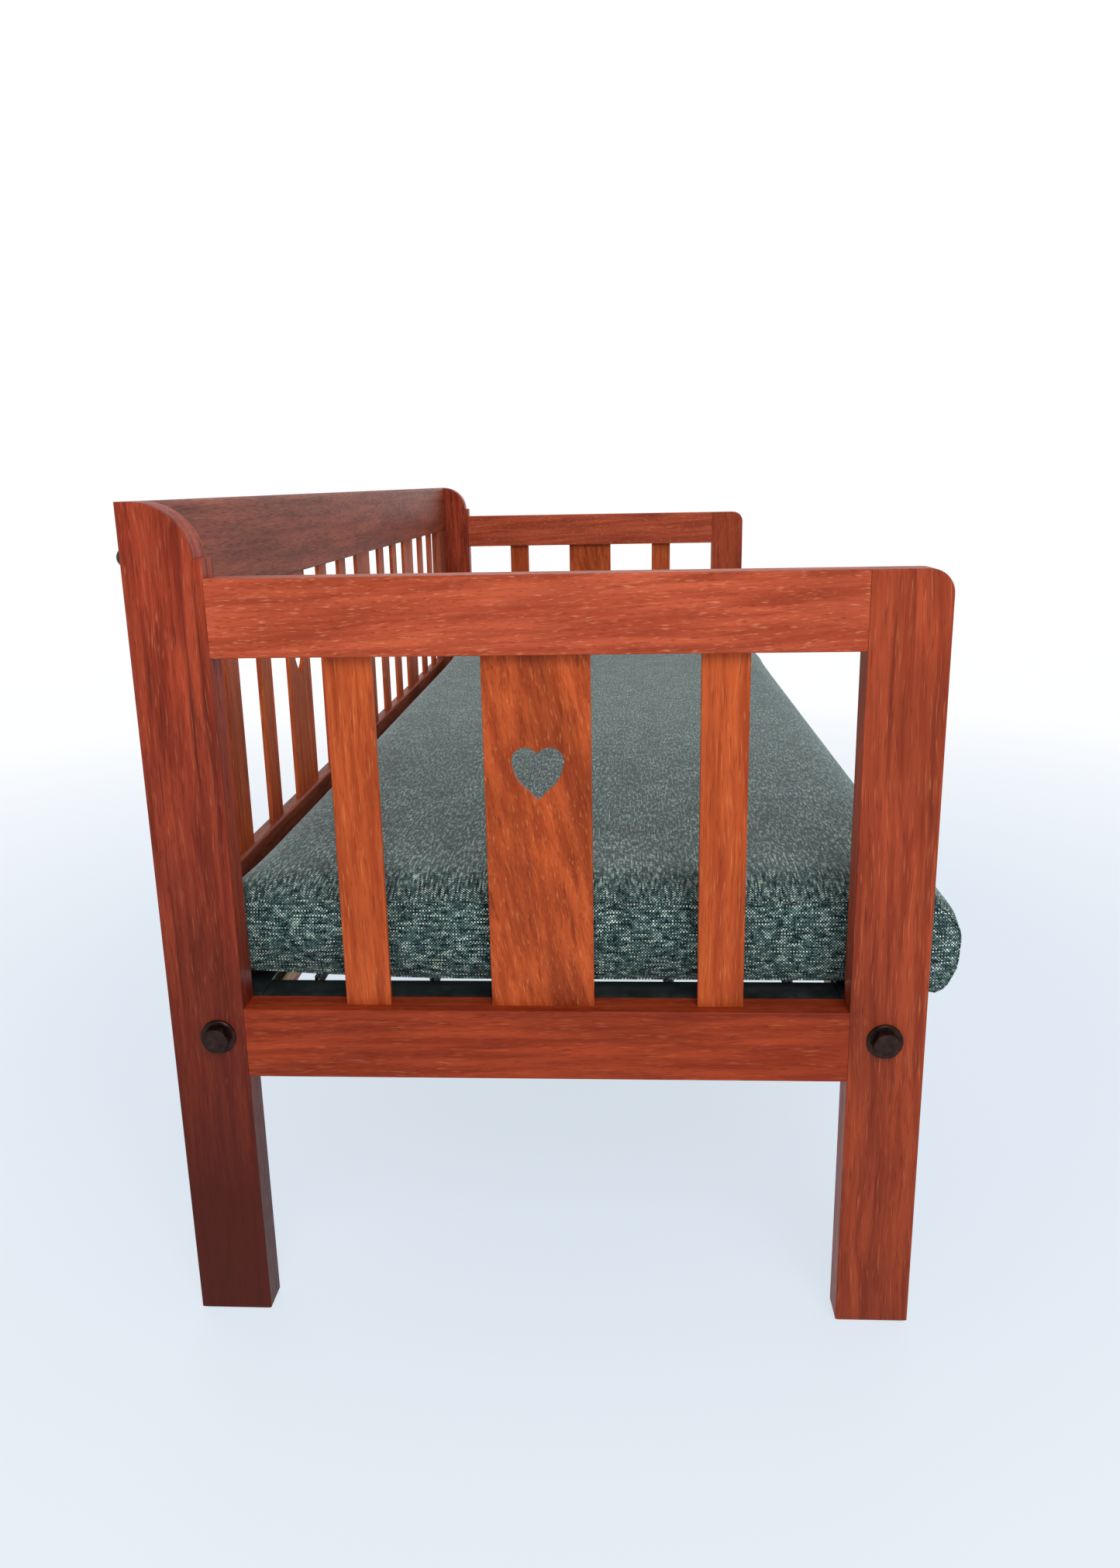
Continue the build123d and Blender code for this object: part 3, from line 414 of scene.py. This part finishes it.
def melange_weave():
    """Flat-woven furnishing cloth of dark green warp and pale grey-green slub weft.

    The eye sees fine pale and dark flecks in short horizontal and vertical runs, matt on the near
    faces and paler where the cloth is seen at a low angle.
    """
    made, tree, shader = new_material("melange_weave", roughness=0.95, sheen_weight=0.7,
                                      sheen_roughness=0.3, specular_ior_level=0.15)
    shader.inputs["Sheen Tint"].default_value = linear("#D6E6E6")
    cloth = add(tree, "UVMap", uv_map="weave").outputs["UV"]
    threads = add(tree, "VectorMath", {0: cloth, 3: 1 / THREAD}, operation="SCALE").outputs[0]
    part = add(tree, "SeparateXYZ", {0: threads})
    whole = add(tree, "VectorMath", {0: threads}, operation="FLOOR")
    number = add(tree, "SeparateXYZ", {0: whole.outputs[0]})
    column, row = number.outputs["X"], number.outputs["Y"]
    both = add(tree, "Math", {0: column, 1: row}, operation="ADD")
    weft_up = add(tree, "Math", {0: both.outputs[0], 1: 2.0}, operation="FLOORED_MODULO").outputs[0]

    # each thread thickens and thins by itself along its run
    weft_at = add(tree, "CombineXYZ", {0: part.outputs["X"], 1: row})
    weft_place = add(tree, "VectorMath", {0: weft_at.outputs[0],
                                          1: (THREAD / WEFT_RUN, THREAD_STRIDE, 1)},
                     operation="MULTIPLY")
    weft_noise = add(tree, "TexNoise", {"Vector": weft_place.outputs[0], "Scale": 1.0, "Detail": 2.0,
                                        "Roughness": 0.7})
    warp_at = add(tree, "CombineXYZ", {0: column, 1: part.outputs["Y"], 2: 5.0})
    warp_place = add(tree, "VectorMath", {0: warp_at.outputs[0],
                                          1: (THREAD_STRIDE, THREAD / WARP_RUN, 1)},
                     operation="MULTIPLY")
    warp_noise = add(tree, "TexNoise", {"Vector": warp_place.outputs[0], "Scale": 1.0, "Detail": 2.0,
                                        "Roughness": 0.7})
    weft = add(tree, "ValToRGB", {"Fac": weft_noise.outputs["Fac"]},
               stops=[(0.38, linear("#152A2D")), (0.51, linear("#5B7876")), (0.63, linear("#C6D8CE"))])
    warp = add(tree, "ValToRGB", {"Fac": warp_noise.outputs["Fac"]},
               stops=[(0.40, linear("#05090B")), (0.52, linear("#101E26")), (0.66, linear("#405C5C"))])
    colour = add(tree, "Mix", {0: weft_up, 6: warp.outputs["Color"], 7: weft.outputs["Color"]},
                 data_type="RGBA").outputs[2]

    # a few yellow-green slubs, and broad soft shade bars
    slub_mask = add(tree, "ValToRGB", {"Fac": weft_noise.outputs["Fac"]},
                    stops=[(0.70, grey(0.0)), (0.74, grey(0.8))])
    colour = add(tree, "Mix", {0: slub_mask.outputs["Color"], 6: colour, 7: linear("#93A35E")},
                 data_type="RGBA").outputs[2]
    for width, height, place in ((26, 3.4, 0.0), (3.4, 26, 4.0), (60, 45, 9.0)):
        bar_map = add(tree, "Mapping", {"Vector": cloth, "Location": (place, place, place),
                                        "Scale": (1 / (width * MM), 1 / (height * MM), 1)})
        bars = add(tree, "TexNoise", {"Vector": bar_map.outputs[0], "Scale": 1.0, "Detail": 1.0})
        shade = add(tree, "MapRange", {"Value": bars.outputs["Fac"], "From Min": 0.3,
                                       "From Max": 0.7, "To Min": 0.78, "To Max": 1.22})
        colour = add(tree, "Mix", {0: 1.0, 6: colour, 7: shade.outputs[0]}, data_type="RGBA",
                     blend_type="MULTIPLY").outputs[2]
    tree.links.new(colour, shader.inputs["Base Color"])
    half_turns = add(tree, "VectorMath", {0: threads, 3: math.pi}, operation="SCALE")
    waves = add(tree, "VectorMath", {0: half_turns.outputs[0]}, operation="SINE")
    wave = add(tree, "SeparateXYZ", {0: waves.outputs[0]})
    hump = add(tree, "Math", {0: wave.outputs["X"], 1: wave.outputs["Y"]}, operation="MULTIPLY")
    height = add(tree, "Math", {0: hump.outputs[0]}, operation="ABSOLUTE")
    bump = add(tree, "Bump", {"Height": height.outputs[0], "Strength": 0.6, "Distance": 0.4 * MM})
    tree.links.new(bump.outputs["Normal"], shader.inputs["Normal"])
    return made


def even_skin(node, step):
    """A closed even mesh of quads from a CAD node."""
    source = bpy.data.objects.new("start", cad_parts[node].data.copy())
    build = bmesh.new()
    build.from_mesh(source.data)
    bmesh.ops.remove_doubles(build, verts=build.verts, dist=0.01 * MM)
    build.to_mesh(source.data)
    build.free()
    remesh = source.modifiers.new("even", "REMESH")
    remesh.mode = "VOXEL"
    remesh.voxel_size = step
    return finished_mesh(source)


def inflate(pad):
    """Where cloth pressure would move each corner of the cover, held along its end seams."""
    held = pad.vertex_groups.new(name="held")
    for vert in pad.data.vertices:
        if abs(abs(vert.normal.x) - END_FACING) < 0.16:
            held.add([vert.index], 1.0, "REPLACE")
    cloth = pad.modifiers.new("cover", "CLOTH")
    cloth.settings.vertex_group_mass = held.name
    cloth.settings.use_pressure = True
    cloth.settings.uniform_pressure_force = PRESSURE
    cloth.settings.quality = 4
    cloth.settings.effector_weights.gravity = 0.0
    cloth.point_cache.frame_start = 1
    cloth.point_cache.frame_end = CLOTH_STEPS
    for step in range(1, CLOTH_STEPS + 1):
        bpy.context.scene.frame_set(step)
    swollen = pad.evaluated_get(bpy.context.evaluated_depsgraph_get())
    moved = [vert.co.copy() for vert in swollen.to_mesh().vertices]
    swollen.to_mesh_clear()
    pad.modifiers.remove(cloth)
    bpy.context.scene.frame_set(1)
    return moved


def settle(pad, moved):
    """Cap the swelling softly, and keep the underside flat where it lies on the springs."""
    rail_low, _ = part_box("front_seat_rail")
    for vert, target in zip(pad.data.vertices, moved):
        shift = target - vert.co
        overhangs = vert.co.y < rail_low.y
        free = 1.0 if overhangs else min(1.0, max(0.0, (vert.normal.z + 0.75) / 0.5))
        vert.co += shift.normalized() * (free * SWELL * math.tanh(shift.length / SWELL))


def curl(pad):
    """Lift the rear underside, where the cushion is pushed up against the back."""
    low = min(vert.co.z for vert in pad.data.vertices if vert.co.y > 0)
    high = max(vert.co.z for vert in pad.data.vertices)
    rear = max(vert.co.y for vert in pad.data.vertices)
    for vert in pad.data.vertices:
        if vert.co.y > CURL_START:
            under = (high - vert.co.z) / (high - low)
            share = (vert.co.y - CURL_START) / (rear - CURL_START)
            vert.co.z += REAR_LIFT * under * share ** 1.6


def cut_loop(mesh, x):
    """Ordered points where a plane across the cushion cuts its skin."""
    build = bmesh.new()
    build.from_mesh(mesh)
    cut = bmesh.ops.bisect_plane(build, geom=build.verts[:] + build.edges[:] + build.faces[:],
                                 plane_co=(x, 0, 0), plane_no=(1, 0, 0))["geom_cut"]
    build.edges.index_update()
    left = {item for item in cut if isinstance(item, bmesh.types.BMEdge)}
    step = min(left, key=lambda edge: edge.index)
    here = step.verts[0]
    points = []
    while step:
        left.remove(step)
        points.append(here.co.copy())
        here = step.other_vert(here)
        step = next((edge for edge in here.link_edges if edge in left), None)
    build.free()
    area = sum(a.y * b.z - b.y * a.z for a, b in zip(points, points[1:] + points[:1]))
    return points if area < 0 else points[::-1]


def weave_map(mesh):
    """Lay the cloth: wrapped round the length, flat on the two end panels."""
    loop = cut_loop(mesh, 0.0)
    start = min(range(len(loop)), key=lambda place: loop[place].z - loop[place].y)
    loop = loop[start:] + loop[:start]
    strips, total = [], 0.0
    for here, after in zip(loop, loop[1:] + loop[:1]):
        strips.append((here, after - here, total))
        total += (after - here).length

    def round_length(point):
        """How far round the loop its nearest place to a point is."""
        best = (math.inf, 0.0)
        for here, step, travelled in strips:
            off = point - here
            off.x = 0
            share = min(1.0, max(0.0, off.dot(step) / step.length_squared))
            best = min(best, ((off - share * step).length_squared, travelled + share * step.length))
        return best[1]

    rounds = [round_length(vert.co) for vert in mesh.vertices]
    layer = mesh.uv_layers.new(name="weave")
    for face in mesh.polygons:
        end_panel = abs(face.normal.x) > END_FACING
        around = [rounds[vert] for vert in face.vertices]
        wraps = max(around) - min(around) > total / 2
        for corner, vert, travelled in zip(face.loop_indices, face.vertices, around):
            place = mesh.vertices[vert].co
            if end_panel:
                layer.data[corner].uv = (place.y, place.z)
            else:
                lap = total if wraps and travelled < total / 2 else 0.0
                layer.data[corner].uv = (place.x, travelled + lap)


def end_seam(word, pad, x, cloth):
    """The stitched line round an end panel."""
    points = cut_loop(pad.data, x)[::2]
    line = bpy.data.curves.new("seam_line", "CURVE")
    line.dimensions = "3D"
    line.bevel_depth = SEAM_RADIUS
    line.bevel_resolution = 2
    spline = line.splines.new("POLY")
    spline.points.add(len(points) - 1)
    for knot, place in zip(spline.points, points):
        knot.co = (*place, 1.0)
    spline.use_cyclic_u = True
    mesh = finished_mesh(bpy.data.objects.new("seam_line", line))
    layer = mesh.uv_layers.new(name="weave")
    for face in mesh.polygons:
        for corner, vert in zip(face.loop_indices, face.vertices):
            place = mesh.vertices[vert].co
            layer.data[corner].uv = (place.x + place.y, place.z)
    seam = place_mesh(f"{word}_end_seam", mesh, cloth)
    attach(seam, "cushion")


def make_cushion():
    """The loose seat cushion: foam in a sewn woven cover, swollen a little by the foam."""
    cloth = melange_weave()
    mesh = even_skin("cushion_foam", SKIN_STEP)
    pad = place_mesh("seat_cushion", mesh, cloth)
    settle(pad, inflate(pad))
    curl(pad)
    build = bmesh.new()
    build.from_mesh(mesh)
    bmesh.ops.smooth_vert(build, verts=build.verts, factor=0.5, use_axis_x=True, use_axis_y=True,
                          use_axis_z=True)
    build.to_mesh(mesh)
    build.free()
    weave_map(mesh)
    low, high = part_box("cushion_cover")
    end_seam("left", pad, low.x + SEAM_DEPTH, cloth)
    end_seam("right", pad, high.x - SEAM_DEPTH, cloth)
    smooth = pad.modifiers.new("smooth", "SUBSURF")
    smooth.levels = 1
    smooth.render_levels = 1
    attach(pad, "cushion")
    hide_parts("cushion_cover", "cushion_foam")


dress_wood()
dress_metal()
for word, side in SIDES.items():
    end_springs(word, side)
make_cushion()


# ---- stage, light and camera ------------------------------------------------------------------

def make_floor():
    """Pale painted floor of a bright room: it glows a little, so that no deep shade lies on it."""
    made, tree, shader = new_material("painted_floor", roughness=0.6, specular_ior_level=0.2)
    here = add(tree, "TexCoord").outputs["Object"]
    reach = add(tree, "VectorMath", {0: here}, operation="LENGTH")
    away = add(tree, "MapRange", {"Value": reach.outputs["Value"], "From Min": 0.9, "From Max": 2.9})
    glow = add(tree, "Mix", {0: away.outputs[0], 6: linear("#DEE8F2"), 7: linear("#FFFFFF")},
               data_type="RGBA")
    shader.inputs["Base Color"].default_value = linear("#6C7076")
    tree.links.new(glow.outputs[2], shader.inputs["Emission Color"])
    shader.inputs["Emission Strength"].default_value = 0.84
    build = bmesh.new()
    bmesh.ops.create_circle(build, cap_ends=True, segments=96, radius=30)
    place_build("floor", build, made)


def aim_light(lamp, place, aim):
    """Put a lamp in its place, pointed at its aim."""
    holder = bpy.data.objects.new(lamp.name, lamp)
    holder.location = place
    holder.rotation_mode = "QUATERNION"
    holder.rotation_quaternion = (Vector(aim) - Vector(place)).to_track_quat("-Z", "Y")
    bpy.context.scene.collection.objects.link(holder)


def make_soft_box(name, place, aim, size, power):
    """A square soft box."""
    lamp = bpy.data.lights.new(name, "AREA")
    lamp.shape = "SQUARE"
    lamp.size = size
    lamp.energy = power
    aim_light(lamp, place, aim)


def make_window(name, toward, strength, degrees):
    """Broad even daylight from one direction, at the same strength along the whole seat."""
    lamp = bpy.data.lights.new(name, "SUN")
    lamp.energy = strength
    lamp.angle = math.radians(degrees)
    aim_light(lamp, toward, (0, 0, 0))


def make_world():
    """A white room, darker towards the end that the left frame faces."""
    world = bpy.data.worlds.new("white_room")
    bpy.context.scene.world = world
    world.use_nodes = True
    tree = world.node_tree
    room = tree.nodes["Background"]
    room.inputs["Color"].default_value = linear("#FFFFFF")
    toward = add(tree, "SeparateXYZ", {0: add(tree, "TexCoord").outputs["Generated"]})
    walls = add(tree, "MapRange", {"Value": toward.outputs["X"], "From Min": -0.8, "From Max": 0.3,
                                   "To Min": 0.22, "To Max": 1.0})
    ceiling = add(tree, "MapRange", {"Value": toward.outputs["Z"], "From Min": 0.15,
                                     "From Max": 0.9, "To Min": 1.0, "To Max": 0.4})
    bright = add(tree, "Math", {0: walls.outputs[0], 1: ceiling.outputs[0]}, operation="MULTIPLY")
    seen = add(tree, "LightPath").outputs["Is Camera Ray"]
    strength = add(tree, "Mix", {0: seen, 2: bright.outputs[0], 3: 1.0}).outputs[0]
    tree.links.new(strength, room.inputs["Strength"])


def make_camera():
    """Standing a metre in front of the left end, at eye level of a kneeling person."""
    yaw, pitch, roll = math.radians(3.25), math.radians(14.62), math.radians(1.08)
    ahead = Vector((math.cos(yaw) * math.cos(pitch), math.sin(yaw) * math.cos(pitch), -math.sin(pitch)))
    right = ahead.cross(Vector((0, 0, 1))).normalized()
    down = ahead.cross(right)
    image_right = right * math.cos(roll) + down * math.sin(roll)
    image_down = down * math.cos(roll) - right * math.sin(roll)
    camera = bpy.data.objects.new("camera", bpy.data.cameras.new("camera"))
    camera.data.lens = 26.65
    camera.data.sensor_width = 36.0
    axes = Matrix((image_right, -image_down, -ahead)).transposed()
    camera.rotation_mode = "QUATERNION"
    camera.rotation_quaternion = axes.to_quaternion()
    camera.location = (-2.1394, -0.0650, 0.9164)
    bpy.context.scene.collection.objects.link(camera)
    bpy.context.scene.camera = camera


make_floor()
make_world()
make_soft_box("overhead_box", place=(0.8, 0.3, 3.2), aim=(0.2, 0.0, 0.3), size=3.0, power=12.0)
make_soft_box("near_fill", place=(-2.9, -0.5, 2.3), aim=(-0.9, 0.0, 0.7), size=1.4, power=26.0)
make_window("near_window", toward=(-0.78, -0.22, 0.58), strength=1.1, degrees=50)
make_camera()
bpy.context.scene.view_settings.view_transform = "Standard"
